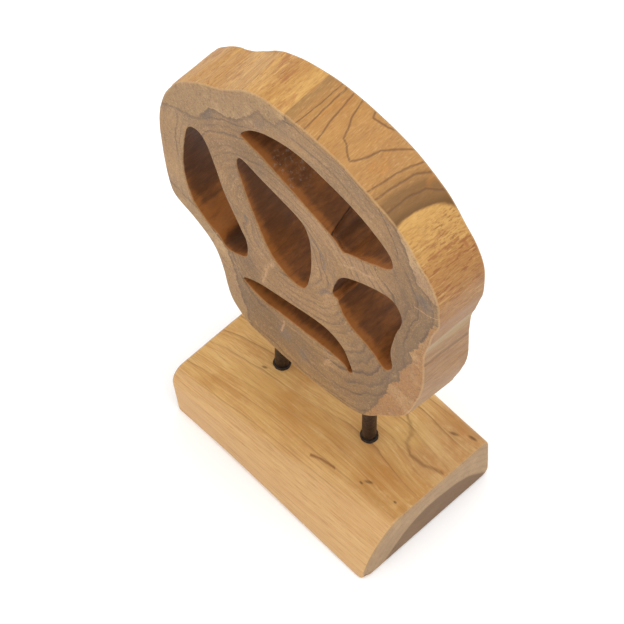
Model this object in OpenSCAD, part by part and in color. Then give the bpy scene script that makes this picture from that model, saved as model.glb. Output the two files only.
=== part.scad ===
// A carved slice of a teak trunk, held upright on two steel rods above a teak block.
// The slice stands in the XZ plane, its face towards -Y. The origin is the centre of
// the base's underside, and +Z is up. All sizes are in millimetres.

/* [Trunk slice] */
// Thickness of the slice, face to back
slice_thickness = 39; // [30:1:50]
// How far the slice's mid-plane stands behind the middle of the base
slice_offset = 2; // [-5:1:5]
// Straight pieces along each stretch between two points of an outline
curve_steps = 5; // [3:1:8]

/* [Base] */
// Width of the base, front to back
base_depth = 120; // [110:2:130]
// Height of the base
base_height = 42; // [36:1:45]
// Left end of the underside
base_left = -87.5; // [-92:0.5:-84]
// Right end of the underside
base_right = 94; // [86:0.5:96]
// How far the left end leans out, from the underside to the top
left_lean = 6.5; // [0:0.5:8]
// How far the right end leans in, from the underside to the top
right_lean = 3.5; // [0:0.5:8]
// Rounding of the upper front edge at the left end
left_wane = 12; // [8:1:20]
// Width of the worn slope along the upper front edge, at the right end
right_wane = 36; // [20:1:45]
// Small rounding of the base's other long edges
base_rounding = 5; // [2:0.5:8]

/* [Rods] */
// Diameter of the steel rods
rod_diameter = 10; // [8:0.5:12]
// Where the left rod stands: left or right of the middle
left_rod_x = -46.5; // [-52:0.5:-40]
// Where the left rod stands: in front of or behind the middle
left_rod_y = 1; // [-4:0.5:6]
// Where the right rod stands: left or right of the middle
right_rod_x = 34; // [28:0.5:40]
// Where the right rod stands: in front of or behind the middle
right_rod_y = 4; // [-2:0.5:6]
// Depth of each rod's hole in the base
base_hole = 25; // [15:1:32]
// Height at which the left rod ends, inside the slice
left_rod_top = 134; // [120:1:138]
// Height at which the right rod ends, inside the slice
right_rod_top = 140; // [126:1:144]

/* [Glue beads] */
// Width of the bead of glue around a rod's foot
bead_diameter = 13; // [11.5:0.5:16]
// Height of the bead
bead_height = 2.4; // [1.5:0.1:4]

/* [Hidden] */

heartwood = [0.65, 0.52, 0.40];
golden_teak = [0.80, 0.63, 0.40];
dark_steel = [0.22, 0.17, 0.14];
dark_glue = [0.10, 0.08, 0.07];
round_fn = 64;
edge_fn = 32;
wane_steps = 14;
wane_slope = 1.25;
slab = 0.02;
cut_past = 1;

// The outlines below are smooth closed curves through a few points of [x, z], clockwise
// from the front. They follow the trunk's own lobes and hollows.
slice_rim = [
    [-58, 101], [-75, 117], [-80, 140], [-88, 161], [-105, 175], [-127, 183], [-134, 207],
    [-139, 250], [-135, 284], [-120, 324], [-96, 349], [-68, 377], [-42, 392], [-2, 401],
    [38, 397], [74, 382], [92, 364], [108, 337], [112, 308], [107, 280], [101, 250],
    [101, 225], [97, 196], [86, 165], [66, 138], [46, 115], [18, 105], [-21, 100]
];
upper_opening = [
    [-62, 331], [-52, 346], [-36, 357], [-12, 364], [14, 363], [40, 357], [60, 347],
    [70, 335], [66, 321], [45, 308], [28, 299], [18, 305], [-12, 316], [-40, 324]
];
centre_opening = [
    [-62, 302], [-46, 299], [-12, 292], [-3, 281], [0, 262], [-1, 235], [-8, 210],
    [-28, 211], [-40, 223], [-52, 250], [-63, 279], [-66, 293]
];
left_opening = [
    [-103, 290], [-95, 285], [-86, 264], [-78, 242], [-64, 216], [-58, 200], [-60, 186],
    [-78, 176], [-95, 186], [-110, 202], [-116, 225], [-116, 252], [-112, 281]
];
right_opening = [
    [70, 293], [78, 287], [80, 275], [75, 254], [71, 230], [72, 207], [66, 200],
    [54, 209], [34, 218], [25, 231], [20, 243], [24, 262], [34, 273], [54, 286]
];
crescent_opening = [
    [-62, 157], [-46, 168], [-17, 178], [13, 186], [28, 182], [36, 166], [36, 156],
    [26, 161], [8, 159], [-17, 155], [-42, 150], [-57, 152]
];
openings = [upper_opening, centre_opening, left_opening, right_opening, crescent_opening];

// Catmull-Rom blend of four neighbours, at t from 0 to 1 between the middle two
function blend(a, b, c, d, t) =
    0.5 * (2 * b + (c - a) * t + (2 * a - 5 * b + 4 * c - d) * t * t
           + (3 * b - a - 3 * c + d) * t * t * t);

function smooth_loop(points) =
    let (count = len(points))
    [
        for (i = [0 : count - 1], k = [0 : curve_steps - 1])
            blend(points[(i + count - 1) % count], points[i], points[(i + 1) % count],
                  points[(i + 2) % count], k / curve_steps)
    ];

// A standing prism: an outline in the XZ plane, carried along +Y from y_front
module standing_prism(points, y_front, thickness) {
    translate([0, y_front + thickness, 0])
        rotate([90, 0, 0])
            linear_extrude(thickness)
                polygon(smooth_loop(points));
}

module rod(x, y, top) {
    bottom = base_height - base_hole;
    translate([x, y, bottom])
        cylinder(h = top - bottom, d = rod_diameter, $fn = round_fn);
}

// The fillet of glue where a rod leaves the base: wide at the foot, thin at the top
module glue_bead(x, y) {
    inner = rod_diameter / 2;
    outer = bead_diameter / 2;
    translate([x, y, base_height])
        rotate_extrude($fn = round_fn)
            polygon([
                [inner, 0], [outer, 0], [outer - 0.1, bead_height * 0.35],
                [inner + 0.9, bead_height * 0.75], [inner, bead_height]
            ]);
}

// The worn upper front edge of the base, as [y, z] from the front face up to the flat top.
// A roundness of 1 is a quarter circle; above 1 it flattens towards a slope.
function worn_edge(width, height, roundness) =
    [
        for (k = [0 : wane_steps])
            let (a = 90 * k / wane_steps)
            [
                width - base_depth / 2 - width * pow(cos(a), roundness),
                base_height - height + height * pow(sin(a), roundness)
            ]
    ];

// One end of the base, standing in the YZ plane, with its upper front edge worn away.
// The lean carries its top sideways, and leaves its height as it is.
module base_end(width, height, roundness, lean) {
    front = -base_depth / 2;
    back = base_depth / 2 - base_rounding;
    top = base_height - base_rounding;
    sideways = lean / base_height;
    multmatrix([[1, 0, sideways, 0], [0, 1, 0, 0], [0, 0, 1, 0]])
        rotate([90, 0, 90])
            linear_extrude(slab) {
                polygon(concat([[back, 0], [front, 0]], worn_edge(width, height, roundness),
                               [[back, base_height]]));
                translate([back, top]) circle(r = base_rounding, $fn = edge_fn);
                translate([back, base_rounding]) circle(r = base_rounding, $fn = edge_fn);
            }
}

module trunk_slice() {
    front = slice_offset - slice_thickness / 2;
    color(heartwood)
        difference() {
            standing_prism(slice_rim, front, slice_thickness);
            for (outline = openings)
                standing_prism(outline, front - cut_past, slice_thickness + 2 * cut_past);
            rod(left_rod_x, left_rod_y, left_rod_top);
            rod(right_rod_x, right_rod_y, right_rod_top);
        }
}

module base() {
    color(golden_teak)
        difference() {
            hull() {
                translate([base_left, 0, 0])
                    base_end(left_wane, left_wane, 1, -left_lean);
                translate([base_right - slab, 0, 0])
                    base_end(right_wane, base_height - 2, wane_slope, -right_lean);
            }
            rod(left_rod_x, left_rod_y, left_rod_top);
            rod(right_rod_x, right_rod_y, right_rod_top);
        }
}

module left_rod() {
    color(dark_steel) rod(left_rod_x, left_rod_y, left_rod_top);
}

module right_rod() {
    color(dark_steel) rod(right_rod_x, right_rod_y, right_rod_top);
}

module left_glue_bead() {
    color(dark_glue) glue_bead(left_rod_x, left_rod_y);
}

module right_glue_bead() {
    color(dark_glue) glue_bead(right_rod_x, right_rod_y);
}

trunk_slice();
base();
left_rod();
right_rod();
left_glue_bead();
right_glue_bead();
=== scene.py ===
import math

import bmesh
import bpy
import numpy as np
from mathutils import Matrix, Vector, noise
from mathutils.geometry import delaunay_2d_cdt


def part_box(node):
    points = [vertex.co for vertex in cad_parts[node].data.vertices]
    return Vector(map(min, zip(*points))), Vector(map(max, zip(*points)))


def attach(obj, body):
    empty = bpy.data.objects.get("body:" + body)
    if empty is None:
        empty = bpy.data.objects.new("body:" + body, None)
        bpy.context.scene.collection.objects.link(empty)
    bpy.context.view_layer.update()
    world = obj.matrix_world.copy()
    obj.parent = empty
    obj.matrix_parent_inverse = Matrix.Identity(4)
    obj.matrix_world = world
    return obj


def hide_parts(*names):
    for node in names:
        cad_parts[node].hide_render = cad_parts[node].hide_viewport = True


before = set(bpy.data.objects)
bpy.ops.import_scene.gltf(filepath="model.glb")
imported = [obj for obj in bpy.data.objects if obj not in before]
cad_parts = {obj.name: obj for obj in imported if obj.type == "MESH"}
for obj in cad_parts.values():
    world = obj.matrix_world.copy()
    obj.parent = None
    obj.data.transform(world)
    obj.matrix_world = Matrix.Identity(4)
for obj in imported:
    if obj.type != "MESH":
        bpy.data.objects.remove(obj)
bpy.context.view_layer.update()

mm = 0.001
print("frame loaded:", ", ".join(sorted(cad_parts)))


viewing = {
    "azimuth": 45.857,           # degrees, from the front towards the right
    "elevation": 60.042,         # degrees above the floor
    "aim": (-0.0601, 0.0422, 0.0433),
    "distance": 2.7202,
    "lens": 230.77,              # millimetres on a 36 mm sensor
}


def placeCamera(v):
    data = bpy.data.cameras.new("studioCamera")
    data.lens = v["lens"]
    data.clip_end = 50
    camera = bpy.data.objects.new("studioCamera", data)
    bpy.context.scene.collection.objects.link(camera)
    turn, rise = math.radians(v["azimuth"]), math.radians(v["elevation"])
    away = Vector((math.sin(turn) * math.cos(rise), -math.cos(turn) * math.cos(rise), math.sin(rise)))
    camera.location = Vector(v["aim"]) + away * v["distance"]
    camera.rotation_euler = (math.pi / 2 - rise, 0, turn)
    bpy.context.scene.camera = camera


lighting = {
    "skyColor": (1.0, 1.0, 1.0),
    "skyStrength": 0.96,
    "lamps": [  # name, place, aim, width, watts, tint
        ("overhead", (0.35, 0.1, 2.2), (0, 0, 0.2), 1.6, 16.0, (1.0, 1.0, 1.0)),
        ("leftSoftbox", (-1.6, -0.9, 1.5), (0, 0, 0.2), 1.2, 5.0, (1.0, 1.0, 1.0)),
    ],
    "floorSize": 14.0,
    "floorColor": (0.99, 0.99, 0.99),
    "floorShade": (0.98, 0.98, 0.98),
}


def lightStudio(v):
    world = bpy.data.worlds.new("paleRoom")
    world.use_nodes = True
    back = world.node_tree.nodes["Background"]
    back.inputs["Color"].default_value = (*v["skyColor"], 1)
    back.inputs["Strength"].default_value = v["skyStrength"]
    bpy.context.scene.world = world
    for name, place, aim, width, watts, tint in v["lamps"]:
        lamp = bpy.data.lights.new(name, "AREA")
        lamp.shape = "DISK"
        lamp.size = width
        lamp.energy = watts
        lamp.color = tint
        lit = bpy.data.objects.new(name, lamp)
        lit.location = place
        lit.rotation_euler = (Vector(aim) - Vector(place)).to_track_quat("-Z", "Y").to_euler()
        bpy.context.scene.collection.objects.link(lit)
    bpy.context.scene.view_settings.view_transform = "Standard"


placeCamera(viewing)
lightStudio(lighting)
print("camera and lights placed")


class Value:
    # a socket of a node tree: arithmetic on it adds the Math nodes that work it out
    def __init__(self, tree, socket):
        self.tree = tree
        self.socket = socket

    def maths(self, operation, *values):
        return self.tree.make("ShaderNodeMath", {"operation": operation}, dict(enumerate(values)))

    def root(self):
        return self.maths("SQRT", self)

    def sine(self):
        return self.maths("SINE", self)

    def cosine(self):
        return self.maths("COSINE", self)

    def __add__(self, other):
        return self.maths("ADD", self, other)

    def __sub__(self, other):
        return self.maths("SUBTRACT", self, other)

    def __rsub__(self, other):
        return self.maths("SUBTRACT", other, self)

    def __mul__(self, other):
        return self.maths("MULTIPLY", self, other)

    def __truediv__(self, other):
        return self.maths("DIVIDE", self, other)

    __radd__ = __add__
    __rmul__ = __mul__

    def fract(self):
        return self.maths("FRACT", self)

    def floor(self):
        return self.maths("FLOOR", self)

    def atMost(self, other):
        return self.maths("MINIMUM", self, other)

    def atLeast(self, other):
        return self.maths("MAXIMUM", self, other)

    def step(self, low, high):  # 0 below low, 1 above high, smooth between; low may be the larger
        if low > high:
            return 1 - self.step(high, low)
        ramp = {"Value": self, "From Min": low, "From Max": high}
        return self.tree.make("ShaderNodeMapRange", {"interpolation_type": "SMOOTHSTEP"}, ramp)


class Tree:
    # builds a node tree: one method makes any node, settings first and then its sockets
    def __init__(self, nodeTree):
        self.tree = nodeTree
        self.tree.nodes.clear()

    def make(self, kind, settings=None, sockets=None, out=0):
        node = self.tree.nodes.new(kind)
        for key, value in (settings or {}).items():
            setattr(node, key, value)
        for key, value in (sockets or {}).items():
            if isinstance(value, Value):
                self.tree.links.new(value.socket, node.inputs[key])
            else:
                node.inputs[key].default_value = value
        return Value(self, node.outputs[out]) if len(node.outputs) else node

    def outputs(self, value):
        return {o.name: Value(self, o) for o in value.socket.node.outputs}

    def split(self, vector):
        parts = self.outputs(self.make("ShaderNodeSeparateXYZ", {}, {0: vector}))
        return parts["X"], parts["Y"], parts["Z"]

    def join(self, x, y, z):
        return self.make("ShaderNodeCombineXYZ", {}, {0: x, 1: y, 2: z})

    def stretch(self, vector, scale):
        return self.make("ShaderNodeMapping", {}, {"Vector": vector, "Scale": scale})

    def cloud(self, vector, scale, detail=2.0, roughness=0.5, distortion=0.0):
        sockets = {"Vector": vector, "Scale": scale, "Detail": detail, "Roughness": roughness,
                   "Distortion": distortion}
        return self.make("ShaderNodeTexNoise", {}, sockets)

    def dice(self, value):  # a fixed random number for each whole number
        return self.make("ShaderNodeTexWhiteNoise", {"noise_dimensions": "1D"}, {"W": value})

    def attribute(self, name):
        return self.make("ShaderNodeAttribute", {"attribute_name": name}, out="Fac")

    def mix(self, amount, first, second):
        first = (*first, 1) if isinstance(first, tuple) else first
        second = (*second, 1) if isinstance(second, tuple) else second
        return self.make("ShaderNodeMix", {"data_type": "RGBA"}, {0: amount, 6: first, 7: second}, out=2)


class Finish(Tree):
    # a material's tree: clouds, spots and strokes as masks, tones laid over each other, then the shader
    def __init__(self, name, tones):
        self.material = bpy.data.materials.new(name)
        self.material.use_nodes = True
        super().__init__(self.material.node_tree)
        self.place = self.make("ShaderNodeTexCoord", out="Object")
        self.tone = {key: fromScreen(*color) for key, color in tones.items()}

    def millimetres(self):
        return [part * 1000 for part in self.split(self.place)]

    def grain(self, stretched, scale, detail, roughness):
        return self.cloud(self.stretch(self.place, stretched), scale, detail, roughness)

    def lay(self, color, *layers):  # each layer is an amount from 0 to 1, and a tone's name or a colour
        color = self.tone[color] if isinstance(color, str) else color
        for amount, over in layers:
            color = self.mix(amount, color, self.tone[over] if isinstance(over, str) else over)
        return color

    def spots(self, across, up, ellipses):  # 1 in the middle of an ellipse, 0 at its edge and outside
        mask = None
        for center, size, turn, strength in ellipses:
            c, s = math.cos(math.radians(turn)), math.sin(math.radians(turn))
            dx, dz = across - center[0], up - center[1]
            along = (dx * c + dz * s) / size[0]
            wide = (dz * c - dx * s) / size[1]
            ellipse = (along * along + wide * wide).root().step(1.0, 0.25) * strength
            mask = ellipse if mask is None else mask.atLeast(ellipse)
        return mask

    def vector(self, operation, first, second, out="Vector"):
        return self.make("ShaderNodeVectorMath", {"operation": operation}, {0: first, 1: second}, out=out)

    def stroke(self, point, path, width):  # 1 along the middle of a path, 0 past half its width
        corners = [(*corner, 0)[:3] for corner in path]
        mask = None
        for start, end in zip(corners, corners[1:]):
            reach = tuple(e - s for s, e in zip(start, end))
            off = self.vector("SUBTRACT", point, start)
            share = self.vector("DOT_PRODUCT", off, reach, out="Value") / sum(r * r for r in reach)
            share = share.atLeast(0.0).atMost(1.0)
            along = self.make("ShaderNodeVectorMath", {"operation": "SCALE"}, {0: reach, "Scale": share})
            far = self.make("ShaderNodeVectorMath", {"operation": "LENGTH"},
                            {0: self.vector("SUBTRACT", off, along)}, out="Value")
            line = far.step(width / 2, 0.0)
            mask = line if mask is None else mask.atLeast(line)
        return mask

    def strokes(self, point, lines):  # each line is a path and a width
        mask = None
        for path, width in lines:
            line = self.stroke(point, path, width)
            mask = line if mask is None else mask.atLeast(line)
        return mask

    def close(self, color, roughness, height, heightSize, fixed=None):
        bump = self.make("ShaderNodeBump", {}, {"Strength": 1.0, "Distance": heightSize, "Height": height})
        sockets = {"Base Color": color, "Roughness": roughness, "Normal": bump, **(fixed or {})}
        shader = self.make("ShaderNodeBsdfPrincipled", {}, sockets)
        self.make("ShaderNodeOutputMaterial", {}, {"Surface": shader})
        return self.material


def fromScreen(r, g, b):  # a colour as seen on a screen, 0 to 255, as the shader's linear light
    return tuple(((c / 255 + 0.055) / 1.055) ** 2.4 if c > 10 else c / 3294 for c in (r, g, b))


# Patches and knots are ellipses: (x, z), (half width, half height), turn and strength, in mm and degrees
sliceWood = {
    "ringSpacing": 6.2,          # mm
    "fineRingSpacing": 1.7,
    "tones": {
        "heart": (155, 114, 64), "heartGrey": (122, 91, 55), "heartLight": (168, 126, 80),
        "streakDark": (122, 94, 66), "streakPale": (186, 144, 98),
        "smoke": (118, 94, 72), "smokePale": (186, 146, 100), "faded": (190, 152, 104),
        "ringLine": (92, 66, 44), "heartRim": (116, 94, 70), "ashen": (118, 100, 86),
        "pink": (196, 150, 104), "knot": (96, 82, 72), "crack": (78, 56, 42),
        "sapFace": (155, 120, 75), "sapOrange": (162, 114, 63), "sapRight": (172, 134, 92),
        "sapBrown": (152, 112, 84), "sapPale": (196, 160, 112), "sapFleck": (146, 106, 76),
        "porePale": (208, 170, 126), "fleckPale": (200, 162, 118),
        "gold": (184, 137, 74), "goldPale": (200, 155, 90), "goldRed": (140, 90, 50),
        "goldDeep": (156, 106, 56), "goldStreak": (162, 112, 60), "goldBright": (216, 174, 108),
        "goldEdge": (196, 151, 84), "goldFleck": (142, 86, 46), "goldSpeck": (146, 90, 44),
        "goldSmudge": (158, 102, 56), "goldMark": (150, 92, 52),
        "flank": (166, 120, 66), "flankBroad": (182, 134, 74), "flankByLobe": (146, 110, 66),
        "flankBand": (108, 75, 38), "flankBlotch": (192, 140, 76), "flankFleck": (196, 148, 88),
        "flankSmudge": (184, 118, 52), "flankLine": (104, 70, 42), "flankLow": (156, 119, 82),
        "flankBend": (150, 104, 62), "flankLowStreak": (142, 104, 68), "fibrePale": (226, 190, 136),
        "greyGroove": (171, 147, 110), "seam": (104, 76, 50),
        # the openings' walls are stained dark, with painted shade in the darker tones and painted light in
        # the orange; the darkest tone is painted shade in the upper opening's crease, and the two pale tones
        # last are painted highlights on the rims
        "wallDark": (70, 40, 17), "wallBrown": (100, 59, 27), "wallLitOrange": (150, 90, 38),
        "wallFleck": (134, 84, 46), "dust": (150, 138, 126), "creaseShade": (44, 24, 12),
        "worn": (206, 168, 122), "lipHighlight": (172, 122, 74),
    },
    "clearRings": [((52, 180), (56, 74), 30, 1), ((92, 270), (26, 90), 0, 0.8),
                   ((20, 382), (72, 24), -8, 0.7)],
    "lightPatches": [((20, 300), (58, 26), -10, 0.9), ((12, 245), (22, 56), 0, 0.75),
                     ((-10, 195), (46, 20), 20, 0.6), ((58, 300), (26, 12), 30, 0.9)],
    "greyPatches": [((86, 300), (30, 56), 10, 1), ((-60, 306), (30, 44), -30, 0.5),
                    ((80, 236), (14, 50), -10, 1), ((-62, 190), (14, 40), 25, 1),
                    ((-30, 133), (60, 26), -4, 1), ((54, 178), (34, 74), -30, 1)],
    "ashenPatches": [((-24, 134), (10, 12), 0, 1), ((-6, 128), (6, 12), 0, 0.8)],
    "knot": [((-58.5, 236), (3.2, 6.5), 10, 0.7)],
    "groove": [((104, 268), (9, 11), 0, 0.7)],
    "dust": [((-29, 320), (22, 12), -16, 1)],
    # lines on the face: a path of (x, z) and a width, in mm
    "smears": [([(1, 281), (8, 276), (13, 266), (12, 258)], 4.5), ([(20, 238), (13, 232), (9, 224)], 5)],
    "crack": [(58, 384), (64, 375), (71, 363), (75, 352)],
    # small reddish marks on the flank of the right lobe: a path of (x, y, z) and a width, in mm
    "marks": [([(93.5, -10, 359.2), (94.2, 3, 360)], 3.2), ([(98, 15, 358), (100, 15.5, 355)], 4),
              ([(108.5, -9, 334.5), (110.5, 11, 327)], 3)],
    # a dark line along the crease where the upper opening's floor steps down, painted shade: a path of (x,
    # y, z) in mm
    "creaseShade": [(17.6, -18, 304.5), (11.8, 8, 307.5)],
    # ring lines on top of the flank: a path of x and depth from the front face, and a width, in mm
    "topLines": [
        ([(-13.6, 0), (-12.1, 14), (-11.3, 39)], 1.5), ([(-6.8, 0), (-7.2, 20), (-7.6, 39)], 2.2),
        ([(4.2, 1), (0.7, 20), (-1.5, 39)], 2.2),
        ([(5.7, 39), (9.2, 25), (13, 18.5), (15.5, 12.8), (19.3, 11.5), (22.4, 8.7), (27.5, 5.6), (31.5, 12),
          (35.8, 23.6), (42, 31), (49.8, 39)], 2.2),
        ([(16.3, 39), (18.7, 34.1), (23, 34.8), (29, 36.4), (34, 39)], 2.2),
        ([(47, 1), (51.5, 20.6), (54, 28.6), (57.7, 39)], 2.2),
        ([(53.5, 1), (55.6, 15.6), (58.4, 28.1), (64, 38)], 2.2),
        ([(63.5, 2), (64.5, 15.6), (68, 28.4), (76, 38)], 2.2),
    ],
}


class SliceWood(Finish):
    # what more than one of the faces, the flank and the walls of the openings use is kept on the class
    def __init__(self, v):
        super().__init__("sliceWood", v["tones"])
        self.v = v
        self.x, self.y, self.z = self.millimetres()
        self.flank = self.attribute("flank")
        self.hollow = self.attribute("hollow")
        self.depth = self.attribute("depth")
        self.facing = self.attribute("facing")
        self.blotch = self.cloud(self.place, 24, 4, 0.62)
        self.smoky = self.cloud(self.place, 48, 5, 0.68, 0.8)
        self.flecks = self.grain((1, 0.2, 1), 380, 3, 0.65)
        self.pores = self.grain((1, 0.12, 1), 900, 2, 0.6)
        self.tool = self.grain((1, 0.3, 1), 260, 4, 0.62)
        self.streak = self.grain((1, 0.09, 1), 420, 4, 0.68)
        self.fibre = self.grain((1, 0.08, 1), 1300, 3, 0.6)
        shift = self.cloud(self.place, 60, 3, 0.6) - 0.5
        sink = self.cloud(self.place, 75, 3, 0.6) - 0.5
        self.crooked = self.join(self.x + shift * 5, self.z + sink * 5, 0.0)
        self.nearlyStraight = self.join(self.x + shift * 1.6, self.z, 0.0)
        # the sapwood's inner boundary is ragged on the faces and straight on the flank
        torn = (self.cloud(self.place, 105, 3, 0.6) - 0.5) * 7 + (self.cloud(self.place, 420, 2) - 0.5) * 1.8
        self.ragged = self.attribute("sap") + torn * (1 - self.flank * 0.85)
        self.isSap = self.ragged.step(-0.5, 0.9)
        self.crack = self.stroke(self.nearlyStraight, v["crack"], 1.5)
        deep = self.y + 17.5             # mm from the front face
        across = self.x + (self.blotch - 0.5) * 2 + (self.cloud(self.place, 130, 2) - 0.5) * 1.6
        self.topLine = self.strokes(self.join(across, deep + (self.smoky - 0.5) * 3, 0.0), v["topLines"])
        bowed = self.x - deep * deep * 0.0075       # bends with the right-hand ring lines
        self.banded = bowed.step(47, 53) * 0.35 + bowed.step(55, 59) * 0.45 + bowed.step(66, 71.5) * 0.25

    def growRings(self):
        # faint over most of the face, clear low down and at the right
        wander = (self.cloud(self.place, 26, 3, 0.55) - 0.5) * 13
        wander = wander + (self.cloud(self.place, 120, 3, 0.6) - 0.5) * 3.2
        self.bent = self.attribute("ring") + wander
        self.clear = self.spots(self.x, self.z, self.v["clearRings"])
        phase = self.bent / self.v["ringSpacing"]
        share = phase.fract()
        dark = self.dice(phase.floor()) * 0.8 + 0.15
        patch = self.cloud(self.place, 19, 2, 0.5).step(0.4, 0.62)
        self.line = share.step(0.55, 0.95) * share.step(1.0, 0.96) * dark
        self.line = self.line * (patch * 0.75 + self.clear * 0.75 + 0.12)
        share = (self.bent / self.v["fineRingSpacing"] + wander * 0.12).fract()
        patch = self.cloud(self.place, 45, 2).step(0.44, 0.66)
        self.fine = share.step(0.3, 0.85) * share.step(1.0, 0.9) * patch

    def heartwood(self, grey):
        x, z, blotch, smoky, flecks = self.x, self.z, self.blotch, self.smoky, self.flecks
        light = self.spots(x, z, self.v["lightPatches"])
        band = self.cloud(self.join(self.bent * 0.16, x * 0.012, z * 0.012), 1.0, 3, 0.6)
        drawnOut = self.cloud(self.join(self.bent * 0.45, x * 0.03, z * 0.03), 1.0, 4, 0.7)
        faded = x.step(-96, -118).atLeast(z.step(336, 372) * x.step(60, 30) * 0.6)
        heart = self.lay(
            "heart",
            (blotch.step(0.3, 0.7) * 0.35 + grey * 0.55, "heartGrey"),
            (light * (blotch * 0.6 + 0.55), "heartLight"),
            (band.step(0.42, 0.66) * 0.35, "heartGrey"),
            (drawnOut.step(0.5, 0.66) * 0.5, "streakDark"),
            (drawnOut.step(0.46, 0.32) * 0.4, "streakPale"),
            (smoky.step(0.52, 0.72) * 0.4, "smoke"),
            (smoky.step(0.46, 0.28) * 0.35 * (1 - grey * 0.6), "smokePale"),
            (faded * 0.3, "faded"),
            ((self.line * 0.95).atMost(0.85), "ringLine"),
            (self.fine * (0.16 + self.clear * 0.42), "ringLine"))
        # a knot, stains, streaks and a crack
        stains = self.spots(x, z, [((-93, 322), (8, 15), -30, blotch * 1.2),
                                   ((-44, 362), (6, 14), -20, blotch * 0.8),
                                   ((98, 322), (12, 12), 0, smoky * 1.04)])
        dirt = self.spots(x, z, self.v["knot"]).atLeast(stains)
        dirt = dirt.atLeast(self.strokes(self.crooked, self.v["smears"]) * 0.6)
        scratch = self.stroke(self.nearlyStraight, [(1.7, 280), (8.2, 277), (15.7, 269)], 1.4)
        scratch = scratch.atLeast(self.stroke(self.crooked, [(-33, 184), (-25, 184.5), (-17, 185)], 1.2))
        pink = self.stroke(self.crooked, [(-35, 208), (-40.6, 196), (-44.3, 173)], 7)
        pink = pink * flecks.step(0.42, 0.56)
        pink = pink.atLeast(self.stroke(self.crooked, [(-24, 148), (-27, 132)], 3) * 0.8)
        web = self.stroke(self.crooked, [(14, 156), (18, 150), (14, 138)], 7)
        pink = pink.atLeast(web * flecks.step(0.44, 0.56))
        pink = pink.atLeast(self.stroke(self.crooked, [(90.5, 308.5), (101, 311.5), (110, 317.7)], 1.3))
        web = self.stroke(self.crooked, [(27.9, 283.4), (38.5, 291.8), (49, 295.8), (57.3, 301.6)], 5)
        pink = pink.atLeast(web * flecks.step(0.42, 0.54))
        outer = self.ragged.step(-15, -2) * (blotch * 0.8 + 0.2)
        return self.lay(
            heart,
            (self.spots(x, z, self.v["ashenPatches"]) * smoky, "ashen"),
            (pink * 0.75, "pink"),
            (dirt, "knot"),
            ((self.crack * 0.75).atLeast(scratch * 0.4), "crack"),
            (outer * 0.45, "heartRim"))

    def face(self):
        x, z, ragged, flecks, pores = self.x, self.z, self.ragged, self.flecks, self.pores
        grey = self.spots(x, z, self.v["greyPatches"])
        sap = self.lay(
            "sapFace",
            (x.step(30, 60) * z.step(320, 300), "sapOrange"),
            (x.step(60, 75) * z.step(305, 315) * 0.8, "sapRight"),
            (self.smoky.step(0.5, 0.68) * 0.5, "sapBrown"),
            (self.cloud(self.place, 38, 3, 0.6).step(0.48, 0.7) * 0.55, "sapPale"),
            (flecks.step(0.5, 0.7) * 0.35, "sapFleck"),
            (self.fine * 0.14, "ringLine"))
        return self.lay(
            self.heartwood(grey),
            (self.isSap, sap),
            (ragged.step(-3.4, -0.4) * ragged.step(0.8, -0.2) * 0.45, "ringLine"),
            (pores.step(0.5, 0.7) * 0.4, "ringLine"),
            (pores.step(0.46, 0.3) * 0.25, "porePale"),
            (flecks.step(0.53, 0.7) * 0.3, "ringLine"),
            (flecks.step(0.44, 0.28) * 0.35 * (1 - grey * 0.8), "fleckPale"))

    def side(self):
        # long grain on the flank, running through the thickness: golden sapwood and brown heartwood
        x, z, ragged, streak, fibre = self.x, self.z, self.ragged, self.streak, self.fibre
        broad = self.grain((1, 0.25, 1), 60, 3, 0.55)
        dash = self.grain((1, 0.28, 1), 820, 3, 0.62)
        leftLobe, rightLobe, redder = x.step(-20, -40), x.step(74, 88), x.step(82, 104)
        dashes = self.cloud(self.place, 34, 3).step(0.42, 0.6) * 0.6 + rightLobe * 0.5
        dashes = dash.step(0.53, 0.61) * dashes.atMost(1.0)
        specks = dash.step(0.52, 0.6) * leftLobe * self.cloud(self.place, 40, 2).step(0.4, 0.56)
        smudge = self.grain((1, 0.32, 1), 105, 3, 0.55).step(0.58, 0.66)
        redFlecks = self.grain((1, 0.2, 1), 480, 3, 0.6).step(0.54, 0.6)
        marks = self.strokes(self.join(x, self.y, z), self.v["marks"])
        gold = self.lay(
            "gold",
            (broad.step(0.35, 0.7), "goldPale"),
            (redder * 0.7, "goldDeep"),
            (streak.step(0.46, 0.62) * 0.42 * (1 - rightLobe * 0.5), "goldStreak"),
            (streak.step(0.45, 0.32) * 0.4, "goldBright"),
            (ragged.step(0, 1) * ragged.step(15, 3) * z.step(350, 366) * 0.65, "goldEdge"),
            (dashes * (0.35 + rightLobe * 0.45), "goldRed"),
            (redFlecks * (0.18 + redder * 0.7), "goldFleck"),
            (specks * 0.6, "goldSpeck"),
            (smudge * (leftLobe * 0.35 + 0.35) * streak.step(0.35, 0.5), "goldSmudge"),
            ((marks * 0.8).atMost(0.7), "goldMark"))
        lit = (1 - self.banded).atLeast(0.0)
        brown = self.lay(
            "flank",
            (broad.step(0.4, 0.65) * 0.5, "flankBroad"),
            (ragged.step(-13, -1) * x.step(10, -10) * 0.8, "flankByLobe"),
            (self.banded * 0.95, "flankBand"),
            (self.blotch.step(0.5, 0.7) * 0.3 * lit, "flankBlotch"),
            (self.flecks.step(0.5, 0.7) * 0.3 * lit, "flankFleck"),
            (smudge * 0.25, "flankSmudge"),
            (self.topLine * z.step(355, 365) * 0.75, "flankLine"))
        rightSap = self.isSap.atLeast(x.step(86, 90) * z.step(346, 338))
        low = z.step(345, 280) * x.step(60, 90)
        seam = z.step(244, 246.5) * z.step(250, 248) * x.step(80, 90)
        seam = seam * self.cloud(self.place, 60, 2).step(0.3, 0.5)
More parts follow.
